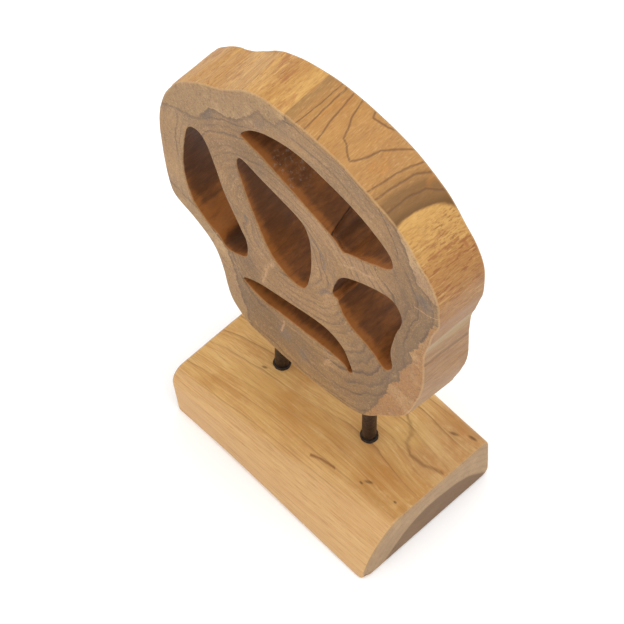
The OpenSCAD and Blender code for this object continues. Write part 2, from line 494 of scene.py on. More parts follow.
        return self.lay(
            brown,
            (rightSap, gold),
            (low * 0.75, "flankLow"),
            (z.step(315, 300) * z.step(270, 290) * x.step(90, 100) * 0.35, "flankBend"),
            (low * streak.step(0.45, 0.6) * 0.5, "flankLowStreak"),
            (fibre.step(0.48, 0.72) * 0.28, "flankLine"),
            (fibre.step(0.45, 0.3) * 0.2 * rightSap.atLeast(lit), "fibrePale"),
            (self.spots(x, z, self.v["groove"]), "greyGroove"),
            (seam * 0.5, "seam"))

    def wall(self):
        # walls of the openings: stained dark, with painted shade dark above and deeper in, and painted light
        # orange below and near the rims
        x, z, facing, tool, flecks = self.x, self.z, self.facing, self.tool, self.flecks
        ripple = self.grain((1, 0.5, 1), 90, 4, 0.6)
        # painted light: walls that face up turn orange, most within 8 mm of either face; the rest stays
        # darker as painted shade, varied by tool marks and ripples
        up = facing.step(0.1, 0.6)
        warm = up * 0.45 + self.depth.step(8, 0) * 0.6 * facing.step(-0.1, 0.5) + (tool - 0.5) * 0.7
        warm = warm + (ripple - 0.5) * 0.7 + 0.18
        # painted light on the left opening's floor, and painted shade low at its right
        leftFloorLight = x.step(-105, -103) * x.step(-82, -86) * up
        warm = warm + leftFloorLight * 0.3 - x.step(-84, -80) * x.step(-60, -66) * z.step(205, 200) * 0.5
        dust = self.spots(x, z, self.v["dust"]) * self.cloud(self.place, 420, 3, 0.7).step(0.54, 0.68)
        # painted shade: a dark line along the crease where the upper opening's floor steps down, and a dark
        # spot deeper in its lowest corner
        creaseShade = self.stroke(self.join(x, self.y, z), self.v["creaseShade"], 3.0)
        creaseShade = creaseShade.atLeast(self.spots(x, z, [((22, 302), (7, 7), 0, 0.5)]) * self.depth.step(1, 5))
        return self.lay(
            "wallDark",
            (warm.step(-0.1, 0.5), "wallBrown"),
            (warm.step(0.45, 1.0), "wallLitOrange"),
            (flecks.step(0.5, 0.7) * 0.3, "wallDark"),
            (flecks.step(0.45, 0.3) * 0.3, "wallFleck"),
            (dust * 0.45, "dust"),
            ((creaseShade * 1.4).atMost(0.85), "creaseShade"))

    def finish(self):
        flank, hollow = self.flank, self.hollow
        self.growRings()
        # a pale line along the rounded edge between the faces and the flank: painted highlight
        worn = flank.step(0.0, 0.3) * flank.step(1.0, 0.5)
        # the rounded rims of the openings paler where they face up: painted highlight
        lipHighlight = hollow.step(0.05, 0.4) * hollow.step(1.0, 0.6) * self.facing.step(-0.3, 0.6)
        color = self.lay(
            self.face(),
            (flank.step(0.35, 0.65), self.side()),
            (worn * 0.35, "worn"),
            (hollow.step(0.3, 0.7), self.wall()),
            (lipHighlight * 0.5, "lipHighlight"))
        rough = 0.52 + (self.blotch - 0.5) * 0.2 + hollow * 0.06
        height = self.pores * 0.3 * (1 - flank) + self.tool * hollow - self.line * 0.12 - self.crack * 0.6
        height = height + (self.streak * 0.6 + self.fibre * 0.35 - self.topLine * 0.3) * flank
        return self.close(color, rough, height, 0.0006, {"Specular IOR Level": 0.25})


# Patches and knots are ellipses: (x, y), (half length, half width), turn and strength, in mm and degrees
baseWood = {
    "ringCenter": (8, -31),      # y and z in mm of the rings on the sawn ends
    "ringSize": 58,
    "endRingSpacing": 6.5,
    "tones": {
        "gold": (204, 160, 96), "goldPale": (216, 174, 112), "orange": (168, 112, 52), "line": (112, 70, 34),
        "rightBrown": (154, 106, 50), "backBrown": (170, 130, 86),
        "streakDark": (174, 122, 62), "streakPale": (222, 184, 124), "soft": (176, 122, 62),
        "dappleDark": (178, 128, 70), "dapplePale": (226, 190, 132), "slope": (204, 162, 112),
        "slopeStreak": (184, 136, 82), "patchDark": (172, 116, 54), "patchPale": (216, 180, 122),
        "stripeDark": (176, 124, 64), "stripePale": (222, 186, 126), "strand": (158, 108, 56),
        "scar": (120, 68, 30), "mossy": (206, 172, 104), "knot": (84, 52, 26), "chip": (92, 62, 38),
        "fibreDark": (150, 102, 54), "fibrePale": (226, 190, 136),
        "end": (166, 136, 102), "endDark": (122, 94, 68), "endLine": (112, 84, 58),
        "endEdge": (192, 158, 116), "endDapple": (190, 158, 118), "endBlotch": (150, 122, 94),
    },
    "warmPatches": [((4, -16), (84, 12), 6, 1), ((56, -12), (34, 18), -16, 1), ((10, -24), (46, 5), 4, 0.8),
                    ((30, 8), (20, 10), 0, 0.8)],
    "mossyPatches": [((52, 24), (20, 15), 0, 1), ((-48, -22), (34, 12), 0, 0.7)],
    "knots": [((59, -21), (4.5, 1.8), 30, 1), ((73, 45.5), (5, 1.6), 20, 1), ((84, 52), (5, 1.6), 10, 1),
              ((82, -19), (2, 1.2), 0, 1), ((-52, -10), (3, 1.4), 20, 1), ((56, -25), (2.4, 1.2), 0, 1)],
    "squiggle": [(36, 36), (44, 31), (52.8, 26), (55.6, 18), (64, 13.1), (75.9, 13.8), (88, 18)],
    "scar": [(17, -34), (26, -31.5), (36, -30)],
    "chip": [((-57.3, 3.5), (1.6, 3.2), 0, 1)],      # y and z, at the right end
}


def sawnEnd(t, v, y, z, end, dapple, blotch, specks):
    # arcs of growth rings round a darker core
    dy, dz = y - v["ringCenter"][0], z - v["ringCenter"][1]
    arc = (dy * dy + dz * dz).root() - v["ringSize"] + (t.cloud(t.place, 34, 3) - 0.5) * 5
    arcs = (arc / v["endRingSpacing"]).fract()
    return t.lay(
        "end",
        (arc.step(1.6, -1.6), "endDark"),
        (arcs.step(0.5, 0.96) * arcs.step(1.0, 0.97) * 0.16, "endLine"),
        (specks.step(0.5, 0.72) * 0.28, "endLine"),
        (end.step(1.0, 0.55) * 0.5, "endEdge"),
        (dapple.step(0.48, 0.7) * 0.35 * arc.step(-2, 3), "endDapple"),
        (blotch.step(0.5, 0.7) * 0.3, "endBlotch"))


def baseWoodMaterial(v):
    t = Finish("baseWood", v["tones"])
    x, y, z = t.millimetres()
    end = t.attribute("end")
    slope = t.attribute("slope")
    flat = 1 - slope
    bent = t.attribute("grain") + (t.grain((0.22, 1, 1), 60, 3, 0.55) - 0.5) * 0.42
    share = bent.fract()
    dark = t.dice(bent.floor())
    fade = t.grain((0.5, 1, 1), 30, 2, 0.5).step(0.36, 0.6)
    line = share.step(0.86, 0.985) * share.step(1.0, 0.99) * (dark * 0.5 + 0.5) * (fade * 0.75 + 0.25)
    line = line * (1 - slope * 0.85)
    soft = share.step(0.2, 0.97) * share.step(1.0, 0.98) * (1 - slope * 0.6)
    streak = t.cloud(t.join(x * 0.012, bent * 9, z * 0.15), 1.0, 4, 0.68)
    strand = t.cloud(t.join(x * 0.03, bent * 30, z * 0.3), 1.0, 3, 0.65)
    stripe = t.cloud(t.join(x * 0.008, bent * 2.2, 0.0), 1.0, 3, 0.6)
    fibre = t.grain((0.05, 1, 1), 950, 3, 0.6)
    blotch = t.grain((0.5, 1, 1), 26, 4, 0.6)
    dapple = t.grain((0.6, 1, 1), 120, 4, 0.65)
    patchy = t.grain((0.7, 1, 1), 44, 4, 0.62)
    specks = t.grain((0.15, 1, 1), 800, 2, 0.6)
    warm = t.spots(x, y, v["warmPatches"]) * (blotch * 0.9 + 0.02)
    crooked = t.join(x + (t.cloud(t.place, 150, 3) - 0.5) * 7, y + (blotch - 0.5) * 6, 0.0)
    squiggle = t.stroke(crooked, v["squiggle"], 4)
    scar = t.stroke(crooked, v["scar"], 3.2)
    onTop = z.step(36, 41)
    knots = (t.spots(x, y, v["knots"]) * (dapple * 1.4)).atMost(0.75) * onTop
    body = t.lay(
        "gold",
        (blotch.step(0.32, 0.7), "goldPale"),
        (x.step(20, 80) * 0.6 * flat, "rightBrown"),
        (x.step(40, 75) * y.step(0, 20) * 0.55, "backBrown"),
        (streak.step(0.44, 0.66) * 0.4, "streakDark"),
        (streak.step(0.42, 0.3) * 0.3, "streakPale"),
        (soft * 0.22, "soft"),
        (dapple.step(0.5, 0.68) * 0.25, "dappleDark"),
        (dapple.step(0.45, 0.3) * 0.25, "dapplePale"),
        (slope * 0.8, t.lay("slope", (streak.step(0.46, 0.68) * 0.55, "slopeStreak"))),
        (warm.atMost(0.85), "orange"),
        (patchy.step(0.48, 0.64) * 0.35 * flat, "patchDark"),
        (patchy.step(0.46, 0.32) * 0.3 * flat, "patchPale"),
        (stripe.step(0.48, 0.64) * 0.2 * flat, "stripeDark"),
        (stripe.step(0.46, 0.34) * 0.22, "stripePale"),
        (line * 0.7, "line"),
        (strand.step(0.52, 0.7) * 0.35, "strand"),
        (squiggle * (dapple + 0.1).atMost(0.6) * z.step(38, 41), "line"),
        (scar * 0.75 * onTop, "scar"),
        (t.spots(x, y, v["mossyPatches"]) * dapple * 0.55, "mossy"),
        (knots, "knot"))
    color = t.lay(
        body,
        (end.step(0.3, 0.7), sawnEnd(t, v, y, z, end, dapple, blotch, specks)),
        (t.spots(y, z, v["chip"]) * x.step(88, 92) * 0.7, "chip"),
        (fibre.step(0.48, 0.74) * 0.34 * (1 - end), "fibreDark"),
        (fibre.step(0.44, 0.3) * 0.2 * (1 - end), "fibrePale"),
        (dapple.step(0.55, 0.75) * 0.14 * (1 - end), "goldPale"))
    rough = 0.5 + (blotch - 0.5) * 0.16 + end * 0.1
    height = fibre * 0.5 * (1 - end) + specks * 0.3 * end - line * 0.3 - squiggle * 0.4 - scar * 0.4
    return t.close(color, rough, height, 0.0005, {"Specular IOR Level": 0.25})


rodSteel = {"dark": (46, 33, 27), "brown": (72, 54, 44), "rubbed": (110, 92, 78)}
driedGlue = {"dark": (34, 26, 20), "brown": (60, 48, 40)}


def steelMaterial(tones):
    t = Finish("darkSteel", tones)
    scale = t.cloud(t.place, 240, 4, 0.65)
    rub = t.grain((1, 1, 0.2), 420, 3, 0.6)
    color = t.lay("dark", (scale.step(0.4, 0.7), "brown"), (rub.step(0.6, 0.8) * 0.4, "rubbed"))
    return t.close(color, 0.34 + scale * 0.2, scale + rub * 0.4, 0.0006, {"Metallic": 0.55})


def glueMaterial(tones):
    t = Finish("driedGlue", tones)
    swirl = t.cloud(t.place, 320, 3, 0.6)
    color = t.lay("dark", (swirl.step(0.4, 0.7), "brown"))
    return t.close(color, 0.5 + swirl * 0.2, swirl, 0.0005, {"Specular IOR Level": 0.2})


def floorMaterial(v):
    t = Finish("paleFloor", {})
    paper = t.cloud(t.place, 3, 2)
    color = t.lay(v["floorColor"], (paper * 0.2, v["floorShade"]))
    glow = {"Specular IOR Level": 0.1, "Emission Color": (1, 1, 1, 1), "Emission Strength": 0.05}
    return t.close(color, 0.9 + paper * 0.02, paper, 0.0001, glow)


materials = {
    "slice": SliceWood(sliceWood).finish(),
    "base": baseWoodMaterial(baseWood),
    "steel": steelMaterial(rodSteel),
    "glue": glueMaterial(driedGlue),
    "floor": floorMaterial(lighting),
}
print("materials made:", ", ".join(materials))


def newPiece(name, mesh, material=None):
    piece = bpy.data.objects.new(name, mesh)
    bpy.context.scene.collection.objects.link(piece)
    if material:
        mesh.materials.append(material)
    mesh.polygons.foreach_set("use_smooth", [True] * len(mesh.polygons))
    return piece


def saveValues(mesh, name, values):
    mesh.attributes.new(name, "FLOAT", "POINT").data.foreach_set("value", np.asarray(values, np.float32))


# The rim's points: x and z at the front, then x and z at the back, clockwise from the front, in mm
rimPoints = [
    (-58, 101, -58, 101), (-68, 108, -67, 108), (-75, 117, -75, 118), (-79, 131, -79, 131),
    (-82, 144, -81, 144), (-88, 160, -87, 160), (-96, 170, -96, 170), (-110, 178, -109, 177),
    (-126, 184, -125, 183), (-132, 195, -132, 195), (-136, 221, -136, 221), (-138.5, 250, -138, 250),
    (-138, 272, -137, 274), (-134, 293, -132, 300), (-124, 318, -123.5, 319), (-115, 332, -113.5, 333),
    (-106, 341, -103, 344), (-98, 348.5, -95, 349), (-86, 357, -88, 355), (-74, 367, -78, 366),
    (-64, 378, -68.5, 377), (-54, 387, -56.5, 386), (-40, 393.5, -40, 395), (-18, 396.5, -17, 402),
    (4, 398, 5, 404.2), (24, 397, 21, 403.4), (40, 391, 35.6, 401.2), (56, 386, 53.6, 396.3),
    (70, 381, 75.3, 384.2), (82, 372, 85.2, 375.5), (91, 360, 94, 364.6), (101, 349, 103, 353),
    (107.5, 337, 110.2, 337.3), (110.5, 323, 112.1, 322), (111, 308, 111.4, 306), (106, 292, 107.3, 286),
    (103, 275, 103.6, 268), (100, 256, 102.4, 252), (100.5, 238, 102.5, 236), (99.5, 218, 102, 215),
    (95, 194, 97.6, 193.4), (87, 167, 89, 167), (77, 151, 79, 149), (65, 137, 67, 137),
    (55, 123, 56, 122), (45, 114, 46, 114), (31, 108, 32, 107), (10, 103, 10, 103),
    (-18, 100, -18, 100), (-40, 99.5, -40, 99.5),
]

openingPoints = {
    "upper": [(-62, 331), (-52, 346), (-36, 357), (-12, 364), (14, 363), (40, 357), (60, 347),
              (69, 338), (68, 325), (47, 310), (33, 302), (28, 298.5), (23, 302), (16, 306),
              (-12, 316), (-40, 324), (-58, 328)],
    "centre": [(-62, 302), (-46, 299), (-12, 292), (-3, 281), (0, 262), (-1, 235), (-8, 210),
               (-28, 211), (-40, 223), (-52, 250), (-63, 279), (-66, 293)],
    "left": [(-103, 290), (-95, 285), (-86, 264), (-78, 242), (-64, 216), (-60, 209), (-58.5, 200),
             (-60, 187), (-68, 180), (-78, 176), (-86, 183), (-95, 186), (-101, 191), (-107, 196),
             (-111, 204), (-116, 225), (-116, 252), (-112, 281)],
    "right": [(70, 293), (78, 287), (80, 275), (75, 254), (71, 230), (72.5, 210), (66, 200),
              (54, 209), (34, 218), (26, 230), (24.5, 236), (20, 237), (22, 252), (26, 264),
              (34, 273), (54, 286)],
    "crescent": [(-62, 157), (-46, 168), (-17, 178), (13, 186), (28, 182), (34, 172), (38, 160),
                 (34, 155), (30, 160), (8, 159), (-17, 155), (-42, 150), (-57, 152)],
}

sliceShape = {
    "spacing": 1.7,              # mm between points along an outline
    "gridSpacing": 2.2,          # mm between points in the two faces
    "edgeRounding": 1.7,         # mm
    "openingRounding": 1.1,
    "roundRows": 5,
    "wallRows": 22,
    "sway": 0.5,                 # mm, slow waves of the sanded surfaces
    "flankRelief": 0.35,         # mm, grain ridges on the flank
    "flankLumps": 0.6,           # mm
    "wallRelief": 0.45,          # mm, tool marks in the openings
    "creaseAt": 17.2,            # x in mm where the upper opening's floor steps down
    "creaseSlant": 0.22,         # mm to the left for each mm of depth
    "creaseDrop": 4.0,
    "creaseWidth": 1.6,
    "creaseFade": (34, 24),      # mm to the right where the drop has faded out, and over how far
    "creaseStart": (1.2, 3),     # mm behind the front face where the drop begins, and over how far
    "grooveAt": (104, 268),      # x and z of the shallow groove in the right flank
    "grooveDepth": 0.9,
    "grooveRadius": 6.0,
    # waves of the relief: share of y, size in mm and strength; a small share draws them out along the grain
    "edgeWaves": [(1, 34, 1)],
    "faceWaves": [(0, 42, 1)],
    "ridges": [(0.07, 2.6, 1), (0.1, 6.5, 0.6)],
    "lumps": [(0.45, 15, 1)],
    "toolMarks": [(0.16, 4.2, 1), (0.5, 13, 0.8)],
}


def smoothLoop(points, spacing):
    # a closed Catmull-Rom curve through points, resampled evenly by the length of its first two columns
    p = np.array(points, float)
    t = np.arange(0, len(p), 1 / 40)
    i, f = t.astype(int), (t % 1)[:, None]
    a, b, c, d = (p[(i + k) % len(p)] for k in (-1, 0, 1, 2))
    square, cube = 2 * a - 5 * b + 4 * c - d, 3 * b - a - 3 * c + d
    dense = 0.5 * (2 * b + (c - a) * f + square * f ** 2 + cube * f ** 3)
    closed = np.vstack([dense, dense[:1]])
    run = np.concatenate([[0], np.cumsum(np.linalg.norm(np.diff(closed[:, :2], axis=0), axis=1))])
    at = np.linspace(0, run[-1], int(run[-1] / spacing), endpoint=False)
    return np.stack([np.interp(at, run, column) for column in closed.T], 1)


def outwards(loop, sign):
    # unit normals of a clockwise loop, smoothed a little; sign 1 points away from the loop's inside
    run = np.roll(loop, -1, 0) - np.roll(loop, 1, 0)
    run = (np.roll(run, 1, 0) + 2 * run + np.roll(run, -1, 0)) / 4
    normal = np.stack([-run[:, 1], run[:, 0]], 1)
    return sign * normal / np.linalg.norm(normal, axis=1)[:, None]


def inside(points, loop):
    hit = np.zeros(len(points), bool)
    x, z = points[:, 0], points[:, 1]
    for (x1, z1), (x2, z2) in zip(loop, np.roll(loop, -1, 0)):
        if z1 != z2:
            crossing = (z1 > z) != (z2 > z)
            hit ^= crossing & (x < (x2 - x1) * (z - z1) / (z2 - z1) + x1)
    return hit


def distanceTo(points, loop):
    nearest = np.full(len(points), 1e9)
    for a, b in zip(loop, np.roll(loop, -1, 0)):
        reach = b - a
        share = np.clip(((points - a) @ reach) / max(reach @ reach, 1e-9), 0, 1)
        nearest = np.minimum(nearest, np.linalg.norm(points - a - share[:, None] * reach, axis=1))
    return nearest


def wave(points, scale, seed):
    # slow, even noise from -1 to 1 at each point
    shift = Vector((seed * 17.3, seed * 5.1, seed * 9.7))
    return np.array([noise.noise(Vector(p) / scale + shift) for p in points])


def waves(points, layers, seed):
    return sum(strength * wave(points * [1, share, 1], size, seed + k)
               for k, (share, size, strength) in enumerate(layers))


def wallOf(v, front, back, sign, rounding, low, high):
    # the rows of one wall, from the front face's edge to the back face's, as x, y, z in mm
    rows = []
    nFront, nBack = outwards(front, sign), outwards(back, sign)
    turns = np.linspace(0, math.pi / 2, v["roundRows"])
    stops = [(rounding * (1 - math.sin(a)), low + rounding * (1 - math.cos(a))) for a in turns]
    stops += [(0, y) for y in np.linspace(low + rounding, high - rounding, v["wallRows"])[1:-1]]
    stops += [(inset, low + high - y) for inset, y in reversed(stops[:len(turns)])]
    for inset, y in stops:
        share = (y - low) / (high - low)
        flat = front * (1 - share) + back * share
        normal = nFront * (1 - share) + nBack * share
        flat = flat - normal * inset
        rows.append(np.stack([flat[:, 0], np.full(len(flat), y), flat[:, 1]], 1))
    return np.array(rows)


def capOf(v, loops, side):
    # the grid points of one face and its triangles, between the outer loop and the openings' loops
    outer = loops[0]
    xs = np.arange(outer[:, 0].min(), outer[:, 0].max(), v["gridSpacing"])
    zs = np.arange(outer[:, 1].min(), outer[:, 1].max(), v["gridSpacing"] * 0.87)
    grid = np.array([(x + (k % 2) * v["gridSpacing"] / 2, z) for k, z in enumerate(zs) for x in xs])
    clear = v["gridSpacing"] * 0.55
    keep = inside(grid, outer) & (distanceTo(grid, outer) > clear)
    for loop in loops[1:]:
        keep &= ~inside(grid, loop) & (distanceTo(grid, loop) > clear)
    grid = grid[keep]
    points = np.vstack(loops + [grid])
    edges, start = [], 0
    for loop in loops:
        edges += [(start + k, start + (k + 1) % len(loop)) for k in range(len(loop))]
        start += len(loop)
    found = delaunay_2d_cdt([Vector(p) for p in points], edges, [], 0, 1e-6)
    old = [ids[0] for ids in found[3]]
    faces = np.array([[old[k] for k in face] for face in found[2]])
    middle = points[faces].mean(1)
    keep = inside(middle, outer)
    for loop in loops[1:]:
        keep &= ~inside(middle, loop)
    faces = faces[keep]
    a, b, c = (points[faces[:, k]] for k in range(3))
    turn = (b[:, 0] - a[:, 0]) * (c[:, 1] - a[:, 1]) - (b[:, 1] - a[:, 1]) * (c[:, 0] - a[:, 0])
    wrong = turn * side < 0
    faces[wrong] = faces[wrong][:, ::-1]
    return grid, faces


def sliceSurface(v, walls, low, high):
    # vertices: the walls' rows, then the grid of each face; kinds says which wall, or -1 for a face
    starts = np.cumsum([0] + [wall.shape[0] * wall.shape[1] for wall in walls])
    coords = [wall.reshape(-1, 3) for wall in walls]
    kinds = [np.full(len(block), k) for k, block in enumerate(coords)]
    total = int(starts[-1])
    faces = []
    for wall, start in zip(walls, starts):
        rows, count = wall.shape[:2]
        for r in range(rows - 1):
            a = start + r * count + np.arange(count)
            b = start + r * count + (np.arange(count) + 1) % count
            faces.append(np.stack([a, b, b + count, a + count], 1))
    for row, y, side in ((0, low, 1), (-1, high, -1)):
        grid, triangles = capOf(v, [wall[row][:, [0, 2]] for wall in walls], side)
        ids = []
        for wall, start in zip(walls, starts):
            rows, count = wall.shape[:2]
            ids.append(start + (rows - 1 if row else 0) * count + np.arange(count))
        ids.append(total + np.arange(len(grid)))
        faces.append(np.concatenate(ids)[triangles])
        coords.append(np.stack([grid[:, 0], np.full(len(grid), y), grid[:, 1]], 1))
        kinds.append(np.full(len(grid), -1))
        total += len(grid)
    return np.vstack(coords), np.concatenate(kinds), [f.tolist() for block in faces for f in block]


def buildSlice(v):
    low, high = (corner.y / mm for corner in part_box("trunk_slice"))
    rim = smoothLoop(rimPoints, v["spacing"])
    loops = [(rim[:, :2], rim[:, 2:], 1, v["edgeRounding"])]
    for points in openingPoints.values():
        loop = smoothLoop(points, v["spacing"])
        loops.append((loop, loop, -1, v["openingRounding"]))
    walls = [wallOf(v, *loop, low, high) for loop in loops]
    coords, kinds, faces = sliceSurface(v, walls, low, high)

    # values that the wood's pattern and the relief follow
    flat = coords[:, [0, 2]]
    deep = coords[:, 1] - low
    depth = np.minimum(deep, high - low - deep)
    flank, hollow, facing = np.zeros((3, len(coords)))
    push = np.zeros((len(coords), 2))
    for k, (front, _, sign, rounding) in enumerate(loops):
        ids = kinds == k
        normal = outwards(front, sign)
        push[ids] = np.tile(normal, (len(walls[k]), 1))
        onWall = np.clip(depth[ids] / rounding, 0, 1)
        if k == 0:
            flank[ids] = onWall
        else:
            hollow[ids] = onWall
            facing[ids] = np.tile(normal[:, 1], len(walls[k]))

    # relief
    out = v["sway"] * waves(coords, v["edgeWaves"], 1)
    ridges, lumps = waves(coords, v["ridges"], 3), waves(coords, v["lumps"], 5)
    out += flank * (v["flankRelief"] * ridges + v["flankLumps"] * lumps)
    out += hollow * v["wallRelief"] * waves(coords, v["toolMarks"], 6)
    far = np.linalg.norm(flat - np.array(v["grooveAt"]), axis=1)
    out -= v["grooveDepth"] * np.exp(-(far / v["grooveRadius"]) ** 2) * flank
    right = flat[:, 0] - v["creaseAt"] + v["creaseSlant"] * deep
    drop = np.clip(right / v["creaseWidth"], 0, 1)
    drop *= np.clip((v["creaseFade"][0] - right) / v["creaseFade"][1], 0, 1)
    drop *= np.clip((deep - v["creaseStart"][0]) / v["creaseStart"][1], 0, 1)
    upperFloor = (kinds == 1 + list(openingPoints).index("upper")) & (facing > 0.2)
    out -= np.where(upperFloor, drop, 0) * v["creaseDrop"]
    moved = coords.copy()
    moved[:, 1] += v["sway"] * waves(coords, v["faceWaves"], 2)
    moved[:, [0, 2]] += push * out[:, None]

    mesh = bpy.data.meshes.new("carvedSlice")
    mesh.from_pydata((moved * mm).tolist(), [], faces)
    ring, sap = ringValues(ringShape, flat, rim[:, :2]), sapValues(sapShape, flat, deep / (high - low))
    values = {"flank": flank, "hollow": hollow, "facing": facing, "depth": depth, "ring": ring, "sap": sap}
    for name, value in values.items():
        saveValues(mesh, name, value)
    turnOutwards(mesh)
    return newPiece("carvedSlice", mesh, materials["slice"])


def turnOutwards(mesh):
    work = bmesh.new()
    work.from_mesh(mesh)
    bmesh.ops.recalc_face_normals(work, faces=work.faces)
    work.to_mesh(mesh)
    work.free()


ringShape = {
    "pith": (-26, 250),          # centre of the growth rings, x and z in mm
    "reach": 128,                # mm of rings between the pith and the rim
    "roundUpTo": 0.25,           # share of the way to the rim where rings begin to follow its lobes
    "blend": 0.6,
    # bulges in the rings: (x, z), width and height, in mm
    "bulges": [((-58.5, 236), 13, 11), ((-20, 128), 14, 7), ((12, 262), 10, 5), ((60, 312), 12, 6)],
}


def ringValues(v, flat, rim):
    # distance from the pith: round near it, and following the rim's lobes further out
    pith = np.array(v["pith"], float)
    off = flat - pith
    r = np.linalg.norm(off, axis=1)
    toRim = rim - pith
    angle = np.arctan2(toRim[:, 1], toRim[:, 0])
    order = np.argsort(angle)
    reach = np.interp(np.arctan2(off[:, 1], off[:, 0]), angle[order], np.linalg.norm(toRim, axis=1)[order],
                      period=2 * math.pi)
    share = r / reach
    lobed = np.clip((share - v["roundUpTo"]) / v["blend"], 0, 1) ** 2
    value = r * (1 - lobed) + share * v["reach"] * lobed
    for center, width, height in v["bulges"]:
        value += height * np.exp(-(np.linalg.norm(flat - np.array(center), axis=1) / width) ** 2)
    return value


sapShape = {
    "drift": 11,                 # mm that the boundary moves to the right at the back, at the upper right
    "driftFrom": (0, 335),       # x and z in mm where the drift begins
    "driftOver": (50, 25),       # and over how far it grows
    "most": 30,                  # mm, the largest value kept
}

sapInner = {  # the inner boundary of each stretch of sapwood, and the far corners that close it, in mm
    "topLeft": [(-150, 285), (-138.5, 285), (-119, 297), (-104.5, 303), (-96, 316), (-91.5, 328),
                (-84.5, 334), (-71.5, 338), (-60, 352), (-50, 367), (-45.5, 377), (-39, 374.5),
                (-31.5, 376), (-24.5, 389), (-22.5, 402), (-22.5, 430), (-190, 430)],
    "lowLeft": [(-150, 196), (-128, 197), (-106, 194), (-78.5, 176), (-71.5, 160), (-66.5, 140), (-60, 120),
                (-56, 95), (-190, 95)],
    "rightLobe": [(71.5, 430), (71.5, 381), (76.5, 372), (86.5, 350), (91.5, 338), (105.5, 331), (125, 331),
                  (190, 430)],
    "lowRight": [(125, 309), (109, 309), (103.5, 300), (100.5, 285), (93.5, 262), (88.5, 250), (89.5, 240),
                 (85.5, 228), (79.5, 215), (78.5, 200), (71.5, 190), (67.5, 170), (60.5, 150), (57.5, 140),
                 (47.5, 114), (44, 95), (190, 95)],
}


def sapValues(v, flat, share):
    # mm inside the sapwood, negative in the heartwood
    shifted = flat.copy()
    growth = np.clip((flat - np.array(v["driftFrom"])) / np.array(v["driftOver"]), 0, 1)
    shifted[:, 0] -= v["drift"] * share ** 2 * growth[:, 0] * growth[:, 1]
    value = np.full(len(flat), -99.0)
    for points in sapInner.values():
        loop = np.array(points, float)
        signed = distanceTo(shifted, loop) * np.where(inside(shifted, loop), 1, -1)
        value = np.maximum(value, signed)
    return np.clip(value, -v["most"], v["most"])


carvedSlice = buildSlice(sliceShape)
print("slice made:", len(carvedSlice.data.polygons), "faces")


def nodeModifier(piece, tree, values):
    # puts a tree on a piece, each value by its socket's identifier, and bakes the result to a plain mesh
    modifier = piece.modifiers.new(tree.name, "NODES")
    modifier.node_group = tree
    ids = {item.name: item.identifier for item in tree.interface.items_tree
           if item.item_type == "SOCKET" and item.in_out == "INPUT"}
    for name, value in values.items():
        modifier[ids[name]] = value
    bpy.context.view_layer.update()
    made = piece.evaluated_get(bpy.context.evaluated_depsgraph_get())
    mesh = bpy.data.meshes.new_from_object(made)
    piece.modifiers.remove(modifier)
    piece.data = mesh
    return piece


class Maker(Tree):
    # a geometry tree with named inputs
    kinds = {"Float": "NodeSocketFloat", "Int": "NodeSocketInt", "Vector": "NodeSocketVector",
             "Object": "NodeSocketObject", "Material": "NodeSocketMaterial"}

    def __init__(self, name, inputs):
        super().__init__(bpy.data.node_groups.new(name, "GeometryNodeTree"))
        self.tree.interface.new_socket("Geometry", in_out="INPUT", socket_type="NodeSocketGeometry")
        self.tree.interface.new_socket("Geometry", in_out="OUTPUT", socket_type="NodeSocketGeometry")
        for label, kind in inputs.items():
            self.tree.interface.new_socket(label, in_out="INPUT", socket_type=self.kinds[kind])
        group = self.make("NodeGroupInput")
        self.inputs = self.outputs(group)

    def stretch(self, vector, scale):
        return self.make("ShaderNodeVectorMath", {"operation": "MULTIPLY"}, {0: vector, 1: scale})

    def close(self, geometry):
        real = self.make("GeometryNodeRealizeInstances", {}, {"Geometry": geometry})
        dressed = {"Geometry": real, "Material": self.inputs["Material"]}
        self.make("NodeGroupOutput", {}, {0: self.make("GeometryNodeSetMaterial", {}, dressed)})
        return self.tree


def emptyPiece(name):
    return newPiece(name, bpy.data.meshes.new(name))


baseShape = {
    "underside": (-87.8, 94.8),  # left and right ends, mm
    "leftLean": 6.5,             # how far the top of the left end leans out
    "rightLean": 1.6,            # how far the top of the right end leans in
    "leftWane": (12.0, 12.0, 1.0),    # width, height and roundness of the upper front edge, left
    "rightWane": (36.0, 40.0, 1.25),  # and right
    "rounding": 7.0,             # back edges
    "endRounding": 3.0,
    "skew": 0.7,                 # how far the left end sits back, and the right end forward
    "rows": 150,
    "around": 260,
    "sanding": 0.25,             # mm
    "nickAt": (94, -58.5, 1.5),  # a small dent in the front right foot
    "nickSize": 3,
    "nickPush": (-1.6, 1.0, 0),
}


def endProfile(name, v, x, wane, lean):
    # one end of the base as a curve in the YZ plane: underside, front, worn edge, top, back
    low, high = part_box("base")
    front, back, top = low.y / mm, high.y / mm, high.z / mm
    width, height, roundness = wane
    r = v["rounding"]
    points = [(back - r, 0), (front + 1.5, 0), (front + 0.4, 0.4)]
    for k in range(25):
        a = math.pi / 2 * k / 24
        y = front + width - width * math.cos(a) ** roundness
        z = top - height + height * math.sin(a) ** roundness
        points.append((y, max(z, 1.2)))
    for k in range(9):
        a = math.pi / 2 * k / 8
        points.append((back - r + r * math.sin(a), top - r + r * math.cos(a)))
    for k in range(9):
        a = math.pi / 2 * k / 8
        points.append((back - r + r * math.cos(a), r - r * math.sin(a)))
    curve = bpy.data.curves.new(name, "CURVE")
    curve.dimensions = "3D"
    spline = curve.splines.new("POLY")
    spline.points.add(len(points) - 1)
    for place, (y, z) in zip(spline.points, points):
        place.co = ((x + lean * z / top) * mm, (y - math.copysign(v["skew"], x)) * mm, z * mm, 1)
    spline.use_cyclic_u = True
    held = bpy.data.objects.new(name, curve)
    bpy.context.scene.collection.objects.link(held)
    return held


